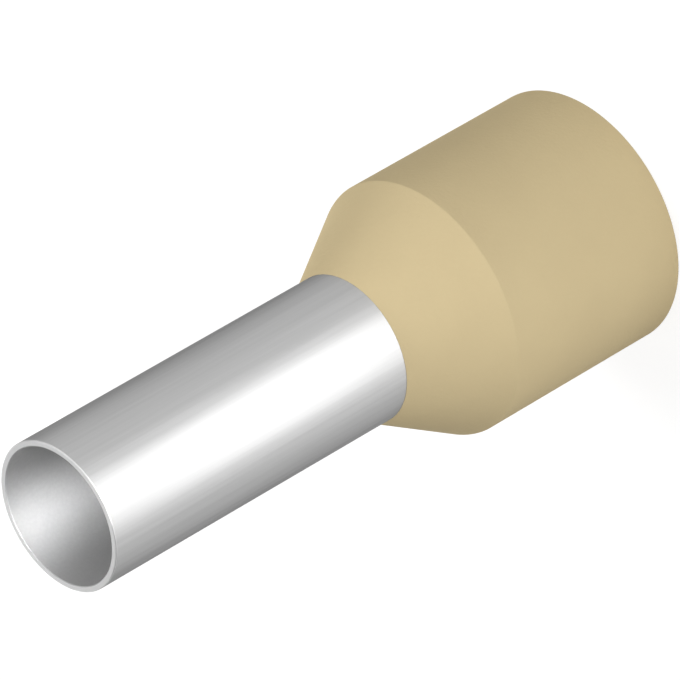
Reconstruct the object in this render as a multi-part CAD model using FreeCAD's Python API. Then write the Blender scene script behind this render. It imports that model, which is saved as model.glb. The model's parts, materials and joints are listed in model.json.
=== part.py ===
import FreeCAD, Part
import math
import os

# Wire ferrule for a 10 mm2 stranded conductor: a thin tinned copper sleeve whose rear end is
# flared, held in a moulded plastic collar. Millimetres. The ferrule stands on the mouth of its
# collar: Z runs along its axis, from the mouth at 0 to the open tip of the sleeve at the top.

# Lengths
total_length = 22.0
bare_length = 12.0  # sleeve that shows ahead of the collar

# Sleeve
sleeve_bore = 4.5
sleeve_wall = 0.2
flare_diameter = 6.2  # across the outer edge of the flared end
tip_round = 0.03  # both edges of the cut tip

# Collar
collar_bore = 7.6
collar_wall = 0.4  # on the straight part and, measured square to it, on the cone
cone_angle = 30.0  # of the nose, from the axis
lip_height = 0.01  # how far the nose stands off the sleeve at its very front, where it runs out
grip_length = 0.35  # straight land that holds the sleeve, ahead of the flare's bend
shoulder_round = 0.12  # outside, where the nose meets the straight part
funnel_round = 0.4  # inside, where the funnel meets the bore
mouth_round = 0.05  # outer edge of the mouth
mouth_lead_in = 0.12  # bevel on the inner edge of the mouth

# Worked out from the sizes above
sleeve_inner_radius = sleeve_bore / 2
sleeve_radius = sleeve_inner_radius + sleeve_wall
flare_radius = flare_diameter / 2
collar_inner_radius = collar_bore / 2
collar_radius = collar_inner_radius + collar_wall
collar_length = total_length - bare_length
lip_radius = sleeve_radius + lip_height
lean = math.radians(cone_angle)

# The nose is three layers that lie parallel to its outer face. Each is named by its depth below
# that face: the outer face itself, the seat that the flare rests on, and the flare's inner face,
# which the plastic funnel behind the flare carries on.
outer_face = 0.0
flare_seat = collar_wall
funnel_face = collar_wall + sleeve_wall


def layer_height(radius, depth):
    """The height at which the layer this deep in the nose has this radius."""
    return collar_length - (radius - lip_radius + depth / math.cos(lean)) / math.tan(lean)


def on_layer(radius, depth, corner_round=0.0):
    """A corner of a profile, on a layer of the nose."""
    return radius, layer_height(radius, depth), corner_round


# Radius on the sleeve's outer face of the bend that starts where the grip ends
flare_corner_height = layer_height(sleeve_radius, flare_seat)
flare_bend = (collar_length - grip_length - flare_corner_height) / math.tan(lean / 2)


def flare_edge():
    """The outer and inner corners of the flared end, which is cut square to its own surface."""
    radius, height, _ = on_layer(flare_radius, flare_seat)
    inner_radius = radius - sleeve_wall * math.cos(lean)
    inner_height = height - sleeve_wall * math.sin(lean)
    return (radius, height, 0.0), (inner_radius, inner_height, 0.0)


def rounded_corner(before, corner, after, corner_round):
    """Where a corner's rounding starts, its middle point, and where it ends."""
    back = (before - corner).normalize()
    ahead = (after - corner).normalize()
    half_angle = back.getAngle(ahead) / 2
    setback = corner_round / math.tan(half_angle)
    inward = (back + ahead).normalize()
    to_arc = corner_round / math.sin(half_angle) - corner_round
    return corner + back * setback, corner + inward * to_arc, corner + ahead * setback


def turned(corners):
    """A solid of revolution about Z, from the (radius, height, round) corners of half its section."""
    points = [FreeCAD.Vector(radius, 0, height) for radius, height, _ in corners]
    stretches = []
    for index, (_, _, corner_round) in enumerate(corners):
        before = points[index - 1]
        corner = points[index]
        after = points[(index + 1) % len(points)]
        stretches.append(rounded_corner(before, corner, after, corner_round))
    edges = []
    for index, (start, middle, end) in enumerate(stretches):
        edges.append(Part.LineSegment(stretches[index - 1][2], start).toShape())
        if corners[index][2] > 0:
            edges.append(Part.Arc(start, middle, end).toShape())
    section = Part.Face(Part.Wire(edges))
    return section.revolve(FreeCAD.Vector(0, 0, 0), FreeCAD.Vector(0, 0, 1), 360)


def metal_sleeve():
    """The tube, of one wall thickness all along, with its rear end bent outwards into a flare."""
    outer_edge, inner_edge = flare_edge()
    return turned(
        [
            (sleeve_inner_radius, total_length, tip_round),
            (sleeve_radius, total_length, tip_round),
            on_layer(sleeve_radius, flare_seat, flare_bend),
            outer_edge,
            inner_edge,
            on_layer(sleeve_inner_radius, funnel_face, flare_bend + sleeve_wall),
        ]
    )


def insulating_collar():
    """The collar: it grips the sleeve, backs the flare, and funnels the strands into it."""
    outer_edge, inner_edge = flare_edge()
    return turned(
        [
            (collar_radius, 0.0, mouth_round),
            on_layer(collar_radius, outer_face, shoulder_round),
            (lip_radius, collar_length, 0.0),
            (sleeve_radius, collar_length, 0.0),
            on_layer(sleeve_radius, flare_seat, flare_bend),
            outer_edge,
            inner_edge,
            on_layer(collar_inner_radius, funnel_face, funnel_round),
            (collar_inner_radius, mouth_lead_in, 0.0),
            (collar_inner_radius + mouth_lead_in, 0.0, 0.0),
        ]
    )


os.makedirs("parts", exist_ok=True)
metal_sleeve().exportStep("parts/metal_sleeve.step")
insulating_collar().exportStep("parts/insulating_collar.step")
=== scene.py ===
import bpy
import json
import math
from mathutils import Matrix, Vector


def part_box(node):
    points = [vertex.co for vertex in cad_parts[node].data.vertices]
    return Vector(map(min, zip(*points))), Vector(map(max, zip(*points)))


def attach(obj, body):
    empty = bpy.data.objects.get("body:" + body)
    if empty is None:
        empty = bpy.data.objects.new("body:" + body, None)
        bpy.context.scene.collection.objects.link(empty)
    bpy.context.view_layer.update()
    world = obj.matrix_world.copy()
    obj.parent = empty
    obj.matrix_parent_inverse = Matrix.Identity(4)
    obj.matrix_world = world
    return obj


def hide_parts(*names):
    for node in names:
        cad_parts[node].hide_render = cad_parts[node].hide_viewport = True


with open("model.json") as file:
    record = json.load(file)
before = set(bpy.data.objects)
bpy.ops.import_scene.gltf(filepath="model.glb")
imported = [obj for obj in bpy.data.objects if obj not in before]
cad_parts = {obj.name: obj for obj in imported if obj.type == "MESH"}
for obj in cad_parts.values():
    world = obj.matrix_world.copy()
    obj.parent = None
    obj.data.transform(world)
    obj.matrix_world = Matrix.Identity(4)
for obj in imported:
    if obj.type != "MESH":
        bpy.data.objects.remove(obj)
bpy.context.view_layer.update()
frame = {"record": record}

# A wire ferrule: a tin-plated copper sleeve, flared at its rear end, in a moulded plastic collar.
# It stands on the collar's mouth, at height 0, with its axis along Z. Lengths are millimetres,
# except where a comment says metres.

MM = 0.001  # a millimetre in metres, for what goes to Blender

# Sizes that the frame holds
mounts = {mount["name"]: mount["dims"] for mount in frame["record"]["mounts"] if mount["dims"]}
sleeve_inner_radius = mounts["conductor_bore"]["r_mm"]
sleeve_radius = mounts["terminal_pin"]["r_mm"]
collar_inner_radius = mounts["insulation_bore"]["r_mm"]
flare_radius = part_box("metal_sleeve")[1].x / MM
total_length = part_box("metal_sleeve")[1].z / MM
collar_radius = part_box("insulating_collar")[1].x / MM
collar_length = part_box("insulating_collar")[1].z / MM

# Sizes that it doesn't hold
cone_angle = math.radians(30)  # of the nose, from the axis
lip_height = 0.01  # how far the nose stands off the sleeve at its very front
grip_length = 0.35  # straight land that holds the sleeve, ahead of the flare's bend
tip_round = 0.03
shoulder_round = 0.12
funnel_round = 0.4
mouth_round = 0.05
mouth_lead_in = 0.12

# Layers of the nose, by their depth below its outer face
collar_wall = collar_radius - collar_inner_radius
sleeve_wall = sleeve_radius - sleeve_inner_radius
outer_face = 0.0
flare_seat = collar_wall
funnel_face = collar_wall + sleeve_wall

around = 256  # facets round the axis
round_steps = 8  # facets across each rounded corner


def layer_height(radius, depth):
    """The height at which the layer this deep in the nose has this radius."""
    run = radius - sleeve_radius - lip_height + depth / math.cos(cone_angle)
    return collar_length - run / math.tan(cone_angle)


# Radius on the sleeve's outer face of the bend that starts where the grip ends
flare_corner_height = layer_height(sleeve_radius, flare_seat)
flare_bend = (collar_length - grip_length - flare_corner_height) / math.tan(cone_angle / 2)


def corner(radius, height, rounding=0.0, finish=0):
    """A corner of a half section. The stretch that starts at it has this finish."""
    return Vector((radius, height)), rounding, finish


def on_layer(radius, depth, rounding=0.0, finish=0):
    """A corner that lies on a layer of the nose."""
    return corner(radius, layer_height(radius, depth), rounding, finish)


def half_section(corners):
    """The outline through these corners, anticlockwise, with the rounded ones as arcs.

    Each of its points is (place, normal before, normal after, finish).
    """
    outline = []
    for index, (place, rounding, finish) in enumerate(corners):
        back = (corners[index - 1][0] - place).normalized()
        ahead = (corners[(index + 1) % len(corners)][0] - place).normalized()
        before = Vector((-back.y, back.x))
        after = Vector((ahead.y, -ahead.x))
        if not rounding:
            outline.append((place, before, after, finish))
            continue
        start = place + back * (rounding / math.tan(back.angle(ahead) / 2))
        turn = -before.angle_signed(after)
        centre = start - before * math.copysign(rounding, turn)
        for step in range(round_steps + 1):
            spin = Matrix.Rotation(turn * step / round_steps, 2)
            normal = spin @ before
            outline.append((centre + spin @ (start - centre), normal, normal, finish))
    return outline


def swung(place, turn, scale=1.0):
    """A place or direction in the half section, turned this far about the axis."""
    return place.x * math.cos(turn) * scale, place.x * math.sin(turn) * scale, place.y * scale


def add_object(name, data):
    """A new object in the scene that holds this mesh, light or camera."""
    made = bpy.data.objects.new(name, data)
    bpy.context.scene.collection.objects.link(made)
    return made


def turned(name, corners, finishes):
    """A closed solid of revolution about Z, with the true normals of its outline."""
    outline = half_section(corners)
    turns = [2 * math.pi * step / around for step in range(around)]
    vertices = [swung(place, turn, MM) for place, *_ in outline for turn in turns]
    faces, normals, finish_numbers = [], [], []
    for ring, (_, _, normal, finish) in enumerate(outline):
        next_ring = (ring + 1) % len(outline)
        next_normal = outline[next_ring][1]
        for step in range(around):
            beside = (step + 1) % around
            points = [(ring, step, normal), (ring, beside, normal)]
            points += [(next_ring, beside, next_normal), (next_ring, step, next_normal)]
            faces.append([row * around + column for row, column, _ in points])
            normals += [swung(leaning, turns[column]) for _, column, leaning in points]
            finish_numbers.append(finish)
    mesh = bpy.data.meshes.new(name)
    mesh.from_pydata(vertices, [], faces)
    for finish in finishes:
        mesh.materials.append(finish)
    mesh.polygons.foreach_set("material_index", finish_numbers)
    mesh.normals_split_custom_set(normals)
    return add_object(name, mesh)


def linear(hex_colour):
    """An sRGB hex colour as linear values, with alpha."""
    channels = [int(hex_colour[start : start + 2], 16) / 255 for start in (1, 3, 5)]
    values = [
        value / 12.92 if value <= 0.04045 else ((value + 0.055) / 1.055) ** 2.4
        for value in channels
    ]
    return [*values, 1.0]


def add_node(owner, kind, settings=None, inputs=None):
    """Adds a node to a material or world, sets its properties, and sets or links its inputs."""
    tree = owner.node_tree
    made = tree.nodes.new(kind)
    for name, value in (settings or {}).items():
        setattr(made, name, value)
    for name, value in (inputs or {}).items():
        if isinstance(value, bpy.types.NodeSocket):
            tree.links.new(value, made.inputs[name])
        else:
            made.inputs[name].default_value = value
    return made


def new_material(name):
    """An empty node material."""
    material = bpy.data.materials.new(name)
    material.use_nodes = True
    material.node_tree.nodes.clear()
    return material


def tin_plated_drawn_copper():
    """Drawn copper tube with a bright tin plating: satin grey, with faint lines along the tube.

    The die's lines are about 0.02 mm apart. They are drawn as coarse as they need to be to show.
    """
    line_spacing = 0.12  # round the tube
    line_length = 8.0  # along it
    line_depth = 0.002
    material = new_material("tin_plated_drawn_copper")
    place = add_node(material, "ShaderNodeTexCoord")
    stretch = (1 / (line_spacing * MM), 1 / (line_spacing * MM), 1 / (line_length * MM))
    along = add_node(
        material,
        "ShaderNodeMapping",
        inputs={"Vector": place.outputs["Object"], "Scale": stretch},
    )
    lines = add_node(
        material,
        "ShaderNodeTexNoise",
        inputs={"Vector": along.outputs["Vector"], "Scale": 1.0, "Detail": 2.0, "Roughness": 0.6},
    )
    colour = add_node(
        material,
        "ShaderNodeMix",
        {"data_type": "RGBA"},
        {"Factor": lines.outputs["Fac"], "A": linear("#AAAAAA"), "B": linear("#BEBEBE")},
    )
    polish = add_node(
        material,
        "ShaderNodeMapRange",
        inputs={"Value": lines.outputs["Fac"], "To Min": 0.4, "To Max": 0.52},
    )
    relief = add_node(
        material,
        "ShaderNodeBump",
        inputs={"Height": lines.outputs["Fac"], "Strength": 1.0, "Distance": line_depth * MM},
    )
    shader = add_node(
        material,
        "ShaderNodeBsdfPrincipled",
        inputs={
            "Base Color": colour.outputs["Result"],
            "Metallic": 1.0,
            "Roughness": polish.outputs["Result"],
            "Specular Tint": linear("#727272"),  # the gloss is dimmer towards the outline
            "Normal": relief.outputs["Normal"],
        },
    )
    add_node(material, "ShaderNodeOutputMaterial", inputs={"Surface": shader.outputs["BSDF"]})
    return material


def matt_tin():
    """The tin plating inside the tube, which no die has burnished: pale, matt and finely grained.

    Such a surface scatters most of its light, so it is only partly metallic here. Its grain, about
    0.02 mm across, is drawn coarser so that it shows.
    """
    grain_size = 0.1
    grain_depth = 0.003
    material = new_material("matt_tin")
    place = add_node(material, "ShaderNodeTexCoord")
    grain = add_node(
        material,
        "ShaderNodeTexNoise",
        inputs={"Vector": place.outputs["Object"], "Scale": 1 / (grain_size * MM), "Detail": 2.0},
    )
    colour = add_node(
        material,
        "ShaderNodeMix",
        {"data_type": "RGBA"},
        {"Factor": grain.outputs["Fac"], "A": linear("#A4A4A4"), "B": linear("#B0B0B0")},
    )
    relief = add_node(
        material,
        "ShaderNodeBump",
        inputs={"Height": grain.outputs["Fac"], "Strength": 1.0, "Distance": grain_depth * MM},
    )
    shader = add_node(
        material,
        "ShaderNodeBsdfPrincipled",
        inputs={
            "Base Color": colour.outputs["Result"],
            "Metallic": 0.4,
            "Roughness": 0.6,
            "Normal": relief.outputs["Normal"],
        },
    )
    add_node(material, "ShaderNodeOutputMaterial", inputs={"Surface": shader.outputs["BSDF"]})
    return material


def sheared_edge_painted_light():
    """The tip's cut edge, plated like the rest, with the fine grain that the shear leaves.

    That grain, about 0.02 mm across, is drawn coarser so that it shows. Its base colour is painted
    lighter than the tube's plating: painted light on the flat rim.
    """
    grain_size = 0.06
    grain_depth = 0.003
    material = new_material("sheared_edge_painted_light")
    place = add_node(material, "ShaderNodeTexCoord")
    grain = add_node(
        material,
        "ShaderNodeTexNoise",
        inputs={"Vector": place.outputs["Object"], "Scale": 1 / (grain_size * MM), "Detail": 1.0},
    )
    relief = add_node(
        material,
        "ShaderNodeBump",
        inputs={"Height": grain.outputs["Fac"], "Strength": 1.0, "Distance": grain_depth * MM},
    )
    shader = add_node(
        material,
        "ShaderNodeBsdfPrincipled",
        inputs={
            # painted light: lighter than the tube's plating, for the light that the flat rim
            # catches
            "Base Color": linear("#D4D4D4"),
            "Metallic": 1.0,
            "Roughness": 0.5,
            "Normal": relief.outputs["Normal"],
        },
    )
    add_node(material, "ShaderNodeOutputMaterial", inputs={"Surface": shader.outputs["BSDF"]})
    return material


def moulded_polypropylene():
    """Injection-moulded polypropylene, coloured ivory through and through.

    The spark-eroded mould leaves a fine matt grain with hardly any sheen, and the pigment clouds
    very faintly where the melt has flowed. The real grain is about 0.05 mm across, and is drawn
    coarser so that it shows.
    """
    grain_size = 0.12
    grain_depth = 0.008
    cloud_size = 3.0
    material = new_material("moulded_polypropylene")
    place = add_node(material, "ShaderNodeTexCoord")
    grain = add_node(
        material,
        "ShaderNodeTexNoise",
        inputs={"Vector": place.outputs["Object"], "Scale": 1 / (grain_size * MM), "Detail": 2.0},
    )
    clouds = add_node(
        material,
        "ShaderNodeTexNoise",
        inputs={"Vector": place.outputs["Object"], "Scale": 1 / (cloud_size * MM), "Detail": 3.0},
    )
    colour = add_node(
        material,
        "ShaderNodeMix",
        {"data_type": "RGBA"},
        {"Factor": clouds.outputs["Fac"], "A": linear("#D5C298"), "B": linear("#DFCCA0")},
    )
    polish = add_node(
        material,
        "ShaderNodeMapRange",
        inputs={"Value": grain.outputs["Fac"], "To Min": 0.8, "To Max": 0.9},
    )
    relief = add_node(
        material,
        "ShaderNodeBump",
        inputs={"Height": grain.outputs["Fac"], "Strength": 1.0, "Distance": grain_depth * MM},
    )
    shader = add_node(
        material,
        "ShaderNodeBsdfPrincipled",
        inputs={
            "Base Color": colour.outputs["Result"],
            "Roughness": polish.outputs["Result"],
            "Specular IOR Level": 0.1,
            "Normal": relief.outputs["Normal"],
        },
    )
    add_node(material, "ShaderNodeOutputMaterial", inputs={"Surface": shader.outputs["BSDF"]})
    return material


def flare_edge():
    """The outer and inner corners of the flared end, which is cut square to its own surface."""
    outer = on_layer(flare_radius, flare_seat)
    across = Vector((math.cos(cone_angle), math.sin(cone_angle))) * sleeve_wall
    inner_place = outer[0] - across
    return outer, corner(inner_place.x, inner_place.y)


def metal_sleeve():
    """The tube, of one wall thickness all along, with its rear end bent outwards into a flare."""
    bright, matt, rim_painted_light = 0, 1, 2
    flare_outer, flare_inner = flare_edge()
    return turned(
        "sleeve",
        [
            corner(sleeve_radius, total_length, tip_round, rim_painted_light),
            corner(sleeve_inner_radius, total_length, tip_round, matt),
            on_layer(sleeve_inner_radius, funnel_face, flare_bend + sleeve_wall, matt),
            flare_inner,
            flare_outer,
            on_layer(sleeve_radius, flare_seat, flare_bend, bright),
        ],
        [tin_plated_drawn_copper(), matt_tin(), sheared_edge_painted_light()],
    )


def insulating_collar():
    """The collar: it grips the sleeve, backs the flare, and funnels the strands into it."""
    return turned(
        "collar",
        [
            corner(collar_radius, 0.0, mouth_round),
            on_layer(collar_radius, outer_face, shoulder_round),
            corner(sleeve_radius + lip_height, collar_length),
            corner(sleeve_radius, collar_length),
            on_layer(sleeve_radius, flare_seat, flare_bend),
            *flare_edge(),
            on_layer(collar_inner_radius, funnel_face, funnel_round),
            corner(collar_inner_radius, mouth_lead_in),
            corner(collar_inner_radius + mouth_lead_in, 0.0),
        ],
        [moulded_polypropylene()],
    )


sleeve = metal_sleeve()
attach(sleeve, "root")
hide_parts("metal_sleeve")

collar = insulating_collar()
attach(collar, "root")
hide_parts("insulating_collar")


def white_card():
    """Matt card that the camera and the gloss see as white, and that keeps the ferrule's shadow.

    To them it is mostly glow, and the light that falls on it gives the rest, less the shadow. To
    all other rays it is plain pale card, which lights the ferrule a little from below.
    """
    glow = 0.8  # where 1 is white
    material = new_material("white_card")
    path = add_node(material, "ShaderNodeLightPath")
    looked_at = add_node(
        material,
        "ShaderNodeMath",
        {"operation": "MAXIMUM"},
        {0: path.outputs["Is Camera Ray"], 1: path.outputs["Is Glossy Ray"]},
    )
    seen = add_node(
        material,
        "ShaderNodeMath",
        {"operation": "MAXIMUM"},
        {0: looked_at.outputs[0], 1: path.outputs["Is Transmission Ray"]},
    )
    colour = add_node(
        material,
        "ShaderNodeMix",
        {"data_type": "RGBA"},
        {"Factor": seen.outputs[0], "A": linear("#BDBDBD"), "B": linear("#9C9C9C")},
    )
    matt = add_node(material, "ShaderNodeBsdfDiffuse", inputs={"Color": colour.outputs["Result"]})
    strength = add_node(
        material, "ShaderNodeMath", {"operation": "MULTIPLY"}, {0: seen.outputs[0], 1: glow}
    )
    white = add_node(
        material,
        "ShaderNodeEmission",
        inputs={"Color": linear("#FFFFFF"), "Strength": strength.outputs[0]},
    )
    both = add_node(
        material, "ShaderNodeAddShader", inputs={0: matt.outputs[0], 1: white.outputs[0]}
    )
    add_node(material, "ShaderNodeOutputMaterial", inputs={"Surface": both.outputs[0]})
    return material


def level_floor(reach):
    """A square floor at height 0 that reaches this far each way, in metres."""
    mesh = bpy.data.meshes.new("floor")
    corners = [(-reach, -reach, 0), (reach, -reach, 0), (reach, reach, 0), (-reach, reach, 0)]
    mesh.from_pydata(corners, [], [(0, 1, 2, 3)])
    mesh.materials.append(white_card())
    return add_object("floor", mesh)


level_floor(1.0)

# World
world_strength = 0.22
world = bpy.data.worlds.new("studio")
bpy.context.scene.world = world
world.use_nodes = True
world.node_tree.nodes.clear()
sky = add_node(
    world,
    "ShaderNodeBackground",
    inputs={"Color": linear("#FFFFFF"), "Strength": world_strength},
)
add_node(world, "ShaderNodeOutputWorld", inputs={"Surface": sky.outputs[0]})


def heading(azimuth, elevation):
    """A direction away from the ferrule, in degrees: azimuth 0 is -Y, and 90 is +X."""
    azimuth = math.radians(azimuth)
    elevation = math.radians(elevation)
    outward = Vector((math.sin(azimuth), -math.cos(azimuth), 0)) * math.cos(elevation)
    return outward + Vector((0, 0, math.sin(elevation)))


def hang(light, place, aim):
    """Hangs a light at its place, turned to its aim. The camera doesn't see it."""
    holder = add_object(light.name, light)
    holder.location = place * MM
    holder.rotation_euler = (place - aim).to_track_quat("Z", "Y").to_euler()
    holder.visible_camera = False
    return holder


def lamp(name, place, aim, width, height, level):
    """An area lamp.

    Its level is how strongly it lights a surface at the aim that is turned to it, next to a world
    of strength 1.
    """
    light = bpy.data.lights.new(name, "AREA")
    light.shape = "RECTANGLE"
    light.size = width * MM
    light.size_y = height * MM
    light.energy = level * (math.pi * (place - aim).length * MM) ** 2
    return hang(light, place, aim)


def spotlight(name, place, aim, beam_radius, level):
    """A spotlight whose soft beam has this radius at the aim. Its level is as a lamp's."""
    bulb_radius = 1
    distance = (place - aim).length
    light = bpy.data.lights.new(name, "SPOT")
    light.spot_size = 2 * math.atan(beam_radius / distance)
    light.spot_blend = 1.0
    light.shadow_soft_size = bulb_radius * MM
    light.energy = level * (2 * math.pi * distance * MM) ** 2
    return hang(light, place, aim)


# Large soft lamps, aimed at the ferrule's middle
middle = Vector((0, 0, total_length / 2))
lamp_distance = 300
lamp_size = 160
for name, azimuth, elevation, level in (
    ("key", -20, 16, 0.59),
    ("side", 100, 60, 0.57),
    ("back", 180, 9, 0.38),
):
    place = middle + heading(azimuth, elevation) * lamp_distance
    lamp(name, place, middle, lamp_size, lamp_size, level)

# Small panels low in front, which only the gloss sees. They make the bright band on the sleeve.
panel_middle = Vector((0, 0, 6.5))
panel_aim = Vector((0, 0, 12))
panel_distance = 18.5
panel_width = 5.4
panel_height = 14
for side, azimuth, level in (("left", -42, 0.15), ("middle", -19, 0.26), ("right", 6, 0.26)):
    place = panel_middle + heading(azimuth, 0) * panel_distance
    panel = lamp("panel_" + side, place, panel_aim, panel_width, panel_height, level)
    panel.visible_diffuse = False

# Soft beams through the open tip: a fill, and a streak down the inner wall that fades with depth.
# Each has its azimuth, its depth below the tip, its radius there and its level.
beam_distance = 60
beam_elevation = 38
for name, azimuth, depth, beam_radius, level in (
    ("fill", 0, 1.6, 3.0, 0.75),
    ("streak_top", -7, 0.5, 1.15, 3.4),
    ("streak_middle", -7, 1.9, 1.15, 1.15),
    ("streak_low", -7, 3.1, 1.15, 1.25),
):
    inner_wall = heading(azimuth + 180, 0) * sleeve_inner_radius
    inner_wall += Vector((0, 0, total_length - depth))
    place = inner_wall + heading(azimuth, beam_elevation) * beam_distance
    spotlight(name, place, inner_wall, beam_radius, level)

# Camera, matched to the photograph's outlines
camera_elevation = 35.27
camera_roll = math.radians(-119.933)
camera_distance = 264.298
camera_aim = Vector((0.3661, 0.0, 10.1103))
camera_data = bpy.data.cameras.new("camera")
camera_data.sensor_width = 36
camera_data.lens = 466.5
camera_data.clip_start = 0.01  # metres
camera = add_object("camera", camera_data)
back = heading(0, camera_elevation)
upright = back.to_track_quat("Z", "Y").to_matrix()
rolled = upright @ Matrix.Rotation(camera_roll, 3, "Z")
camera_place = (camera_aim + back * camera_distance) * MM
camera.matrix_world = Matrix.Translation(camera_place) @ rolled.to_4x4()
bpy.context.scene.camera = camera

bpy.context.scene.view_settings.view_transform = "Standard"
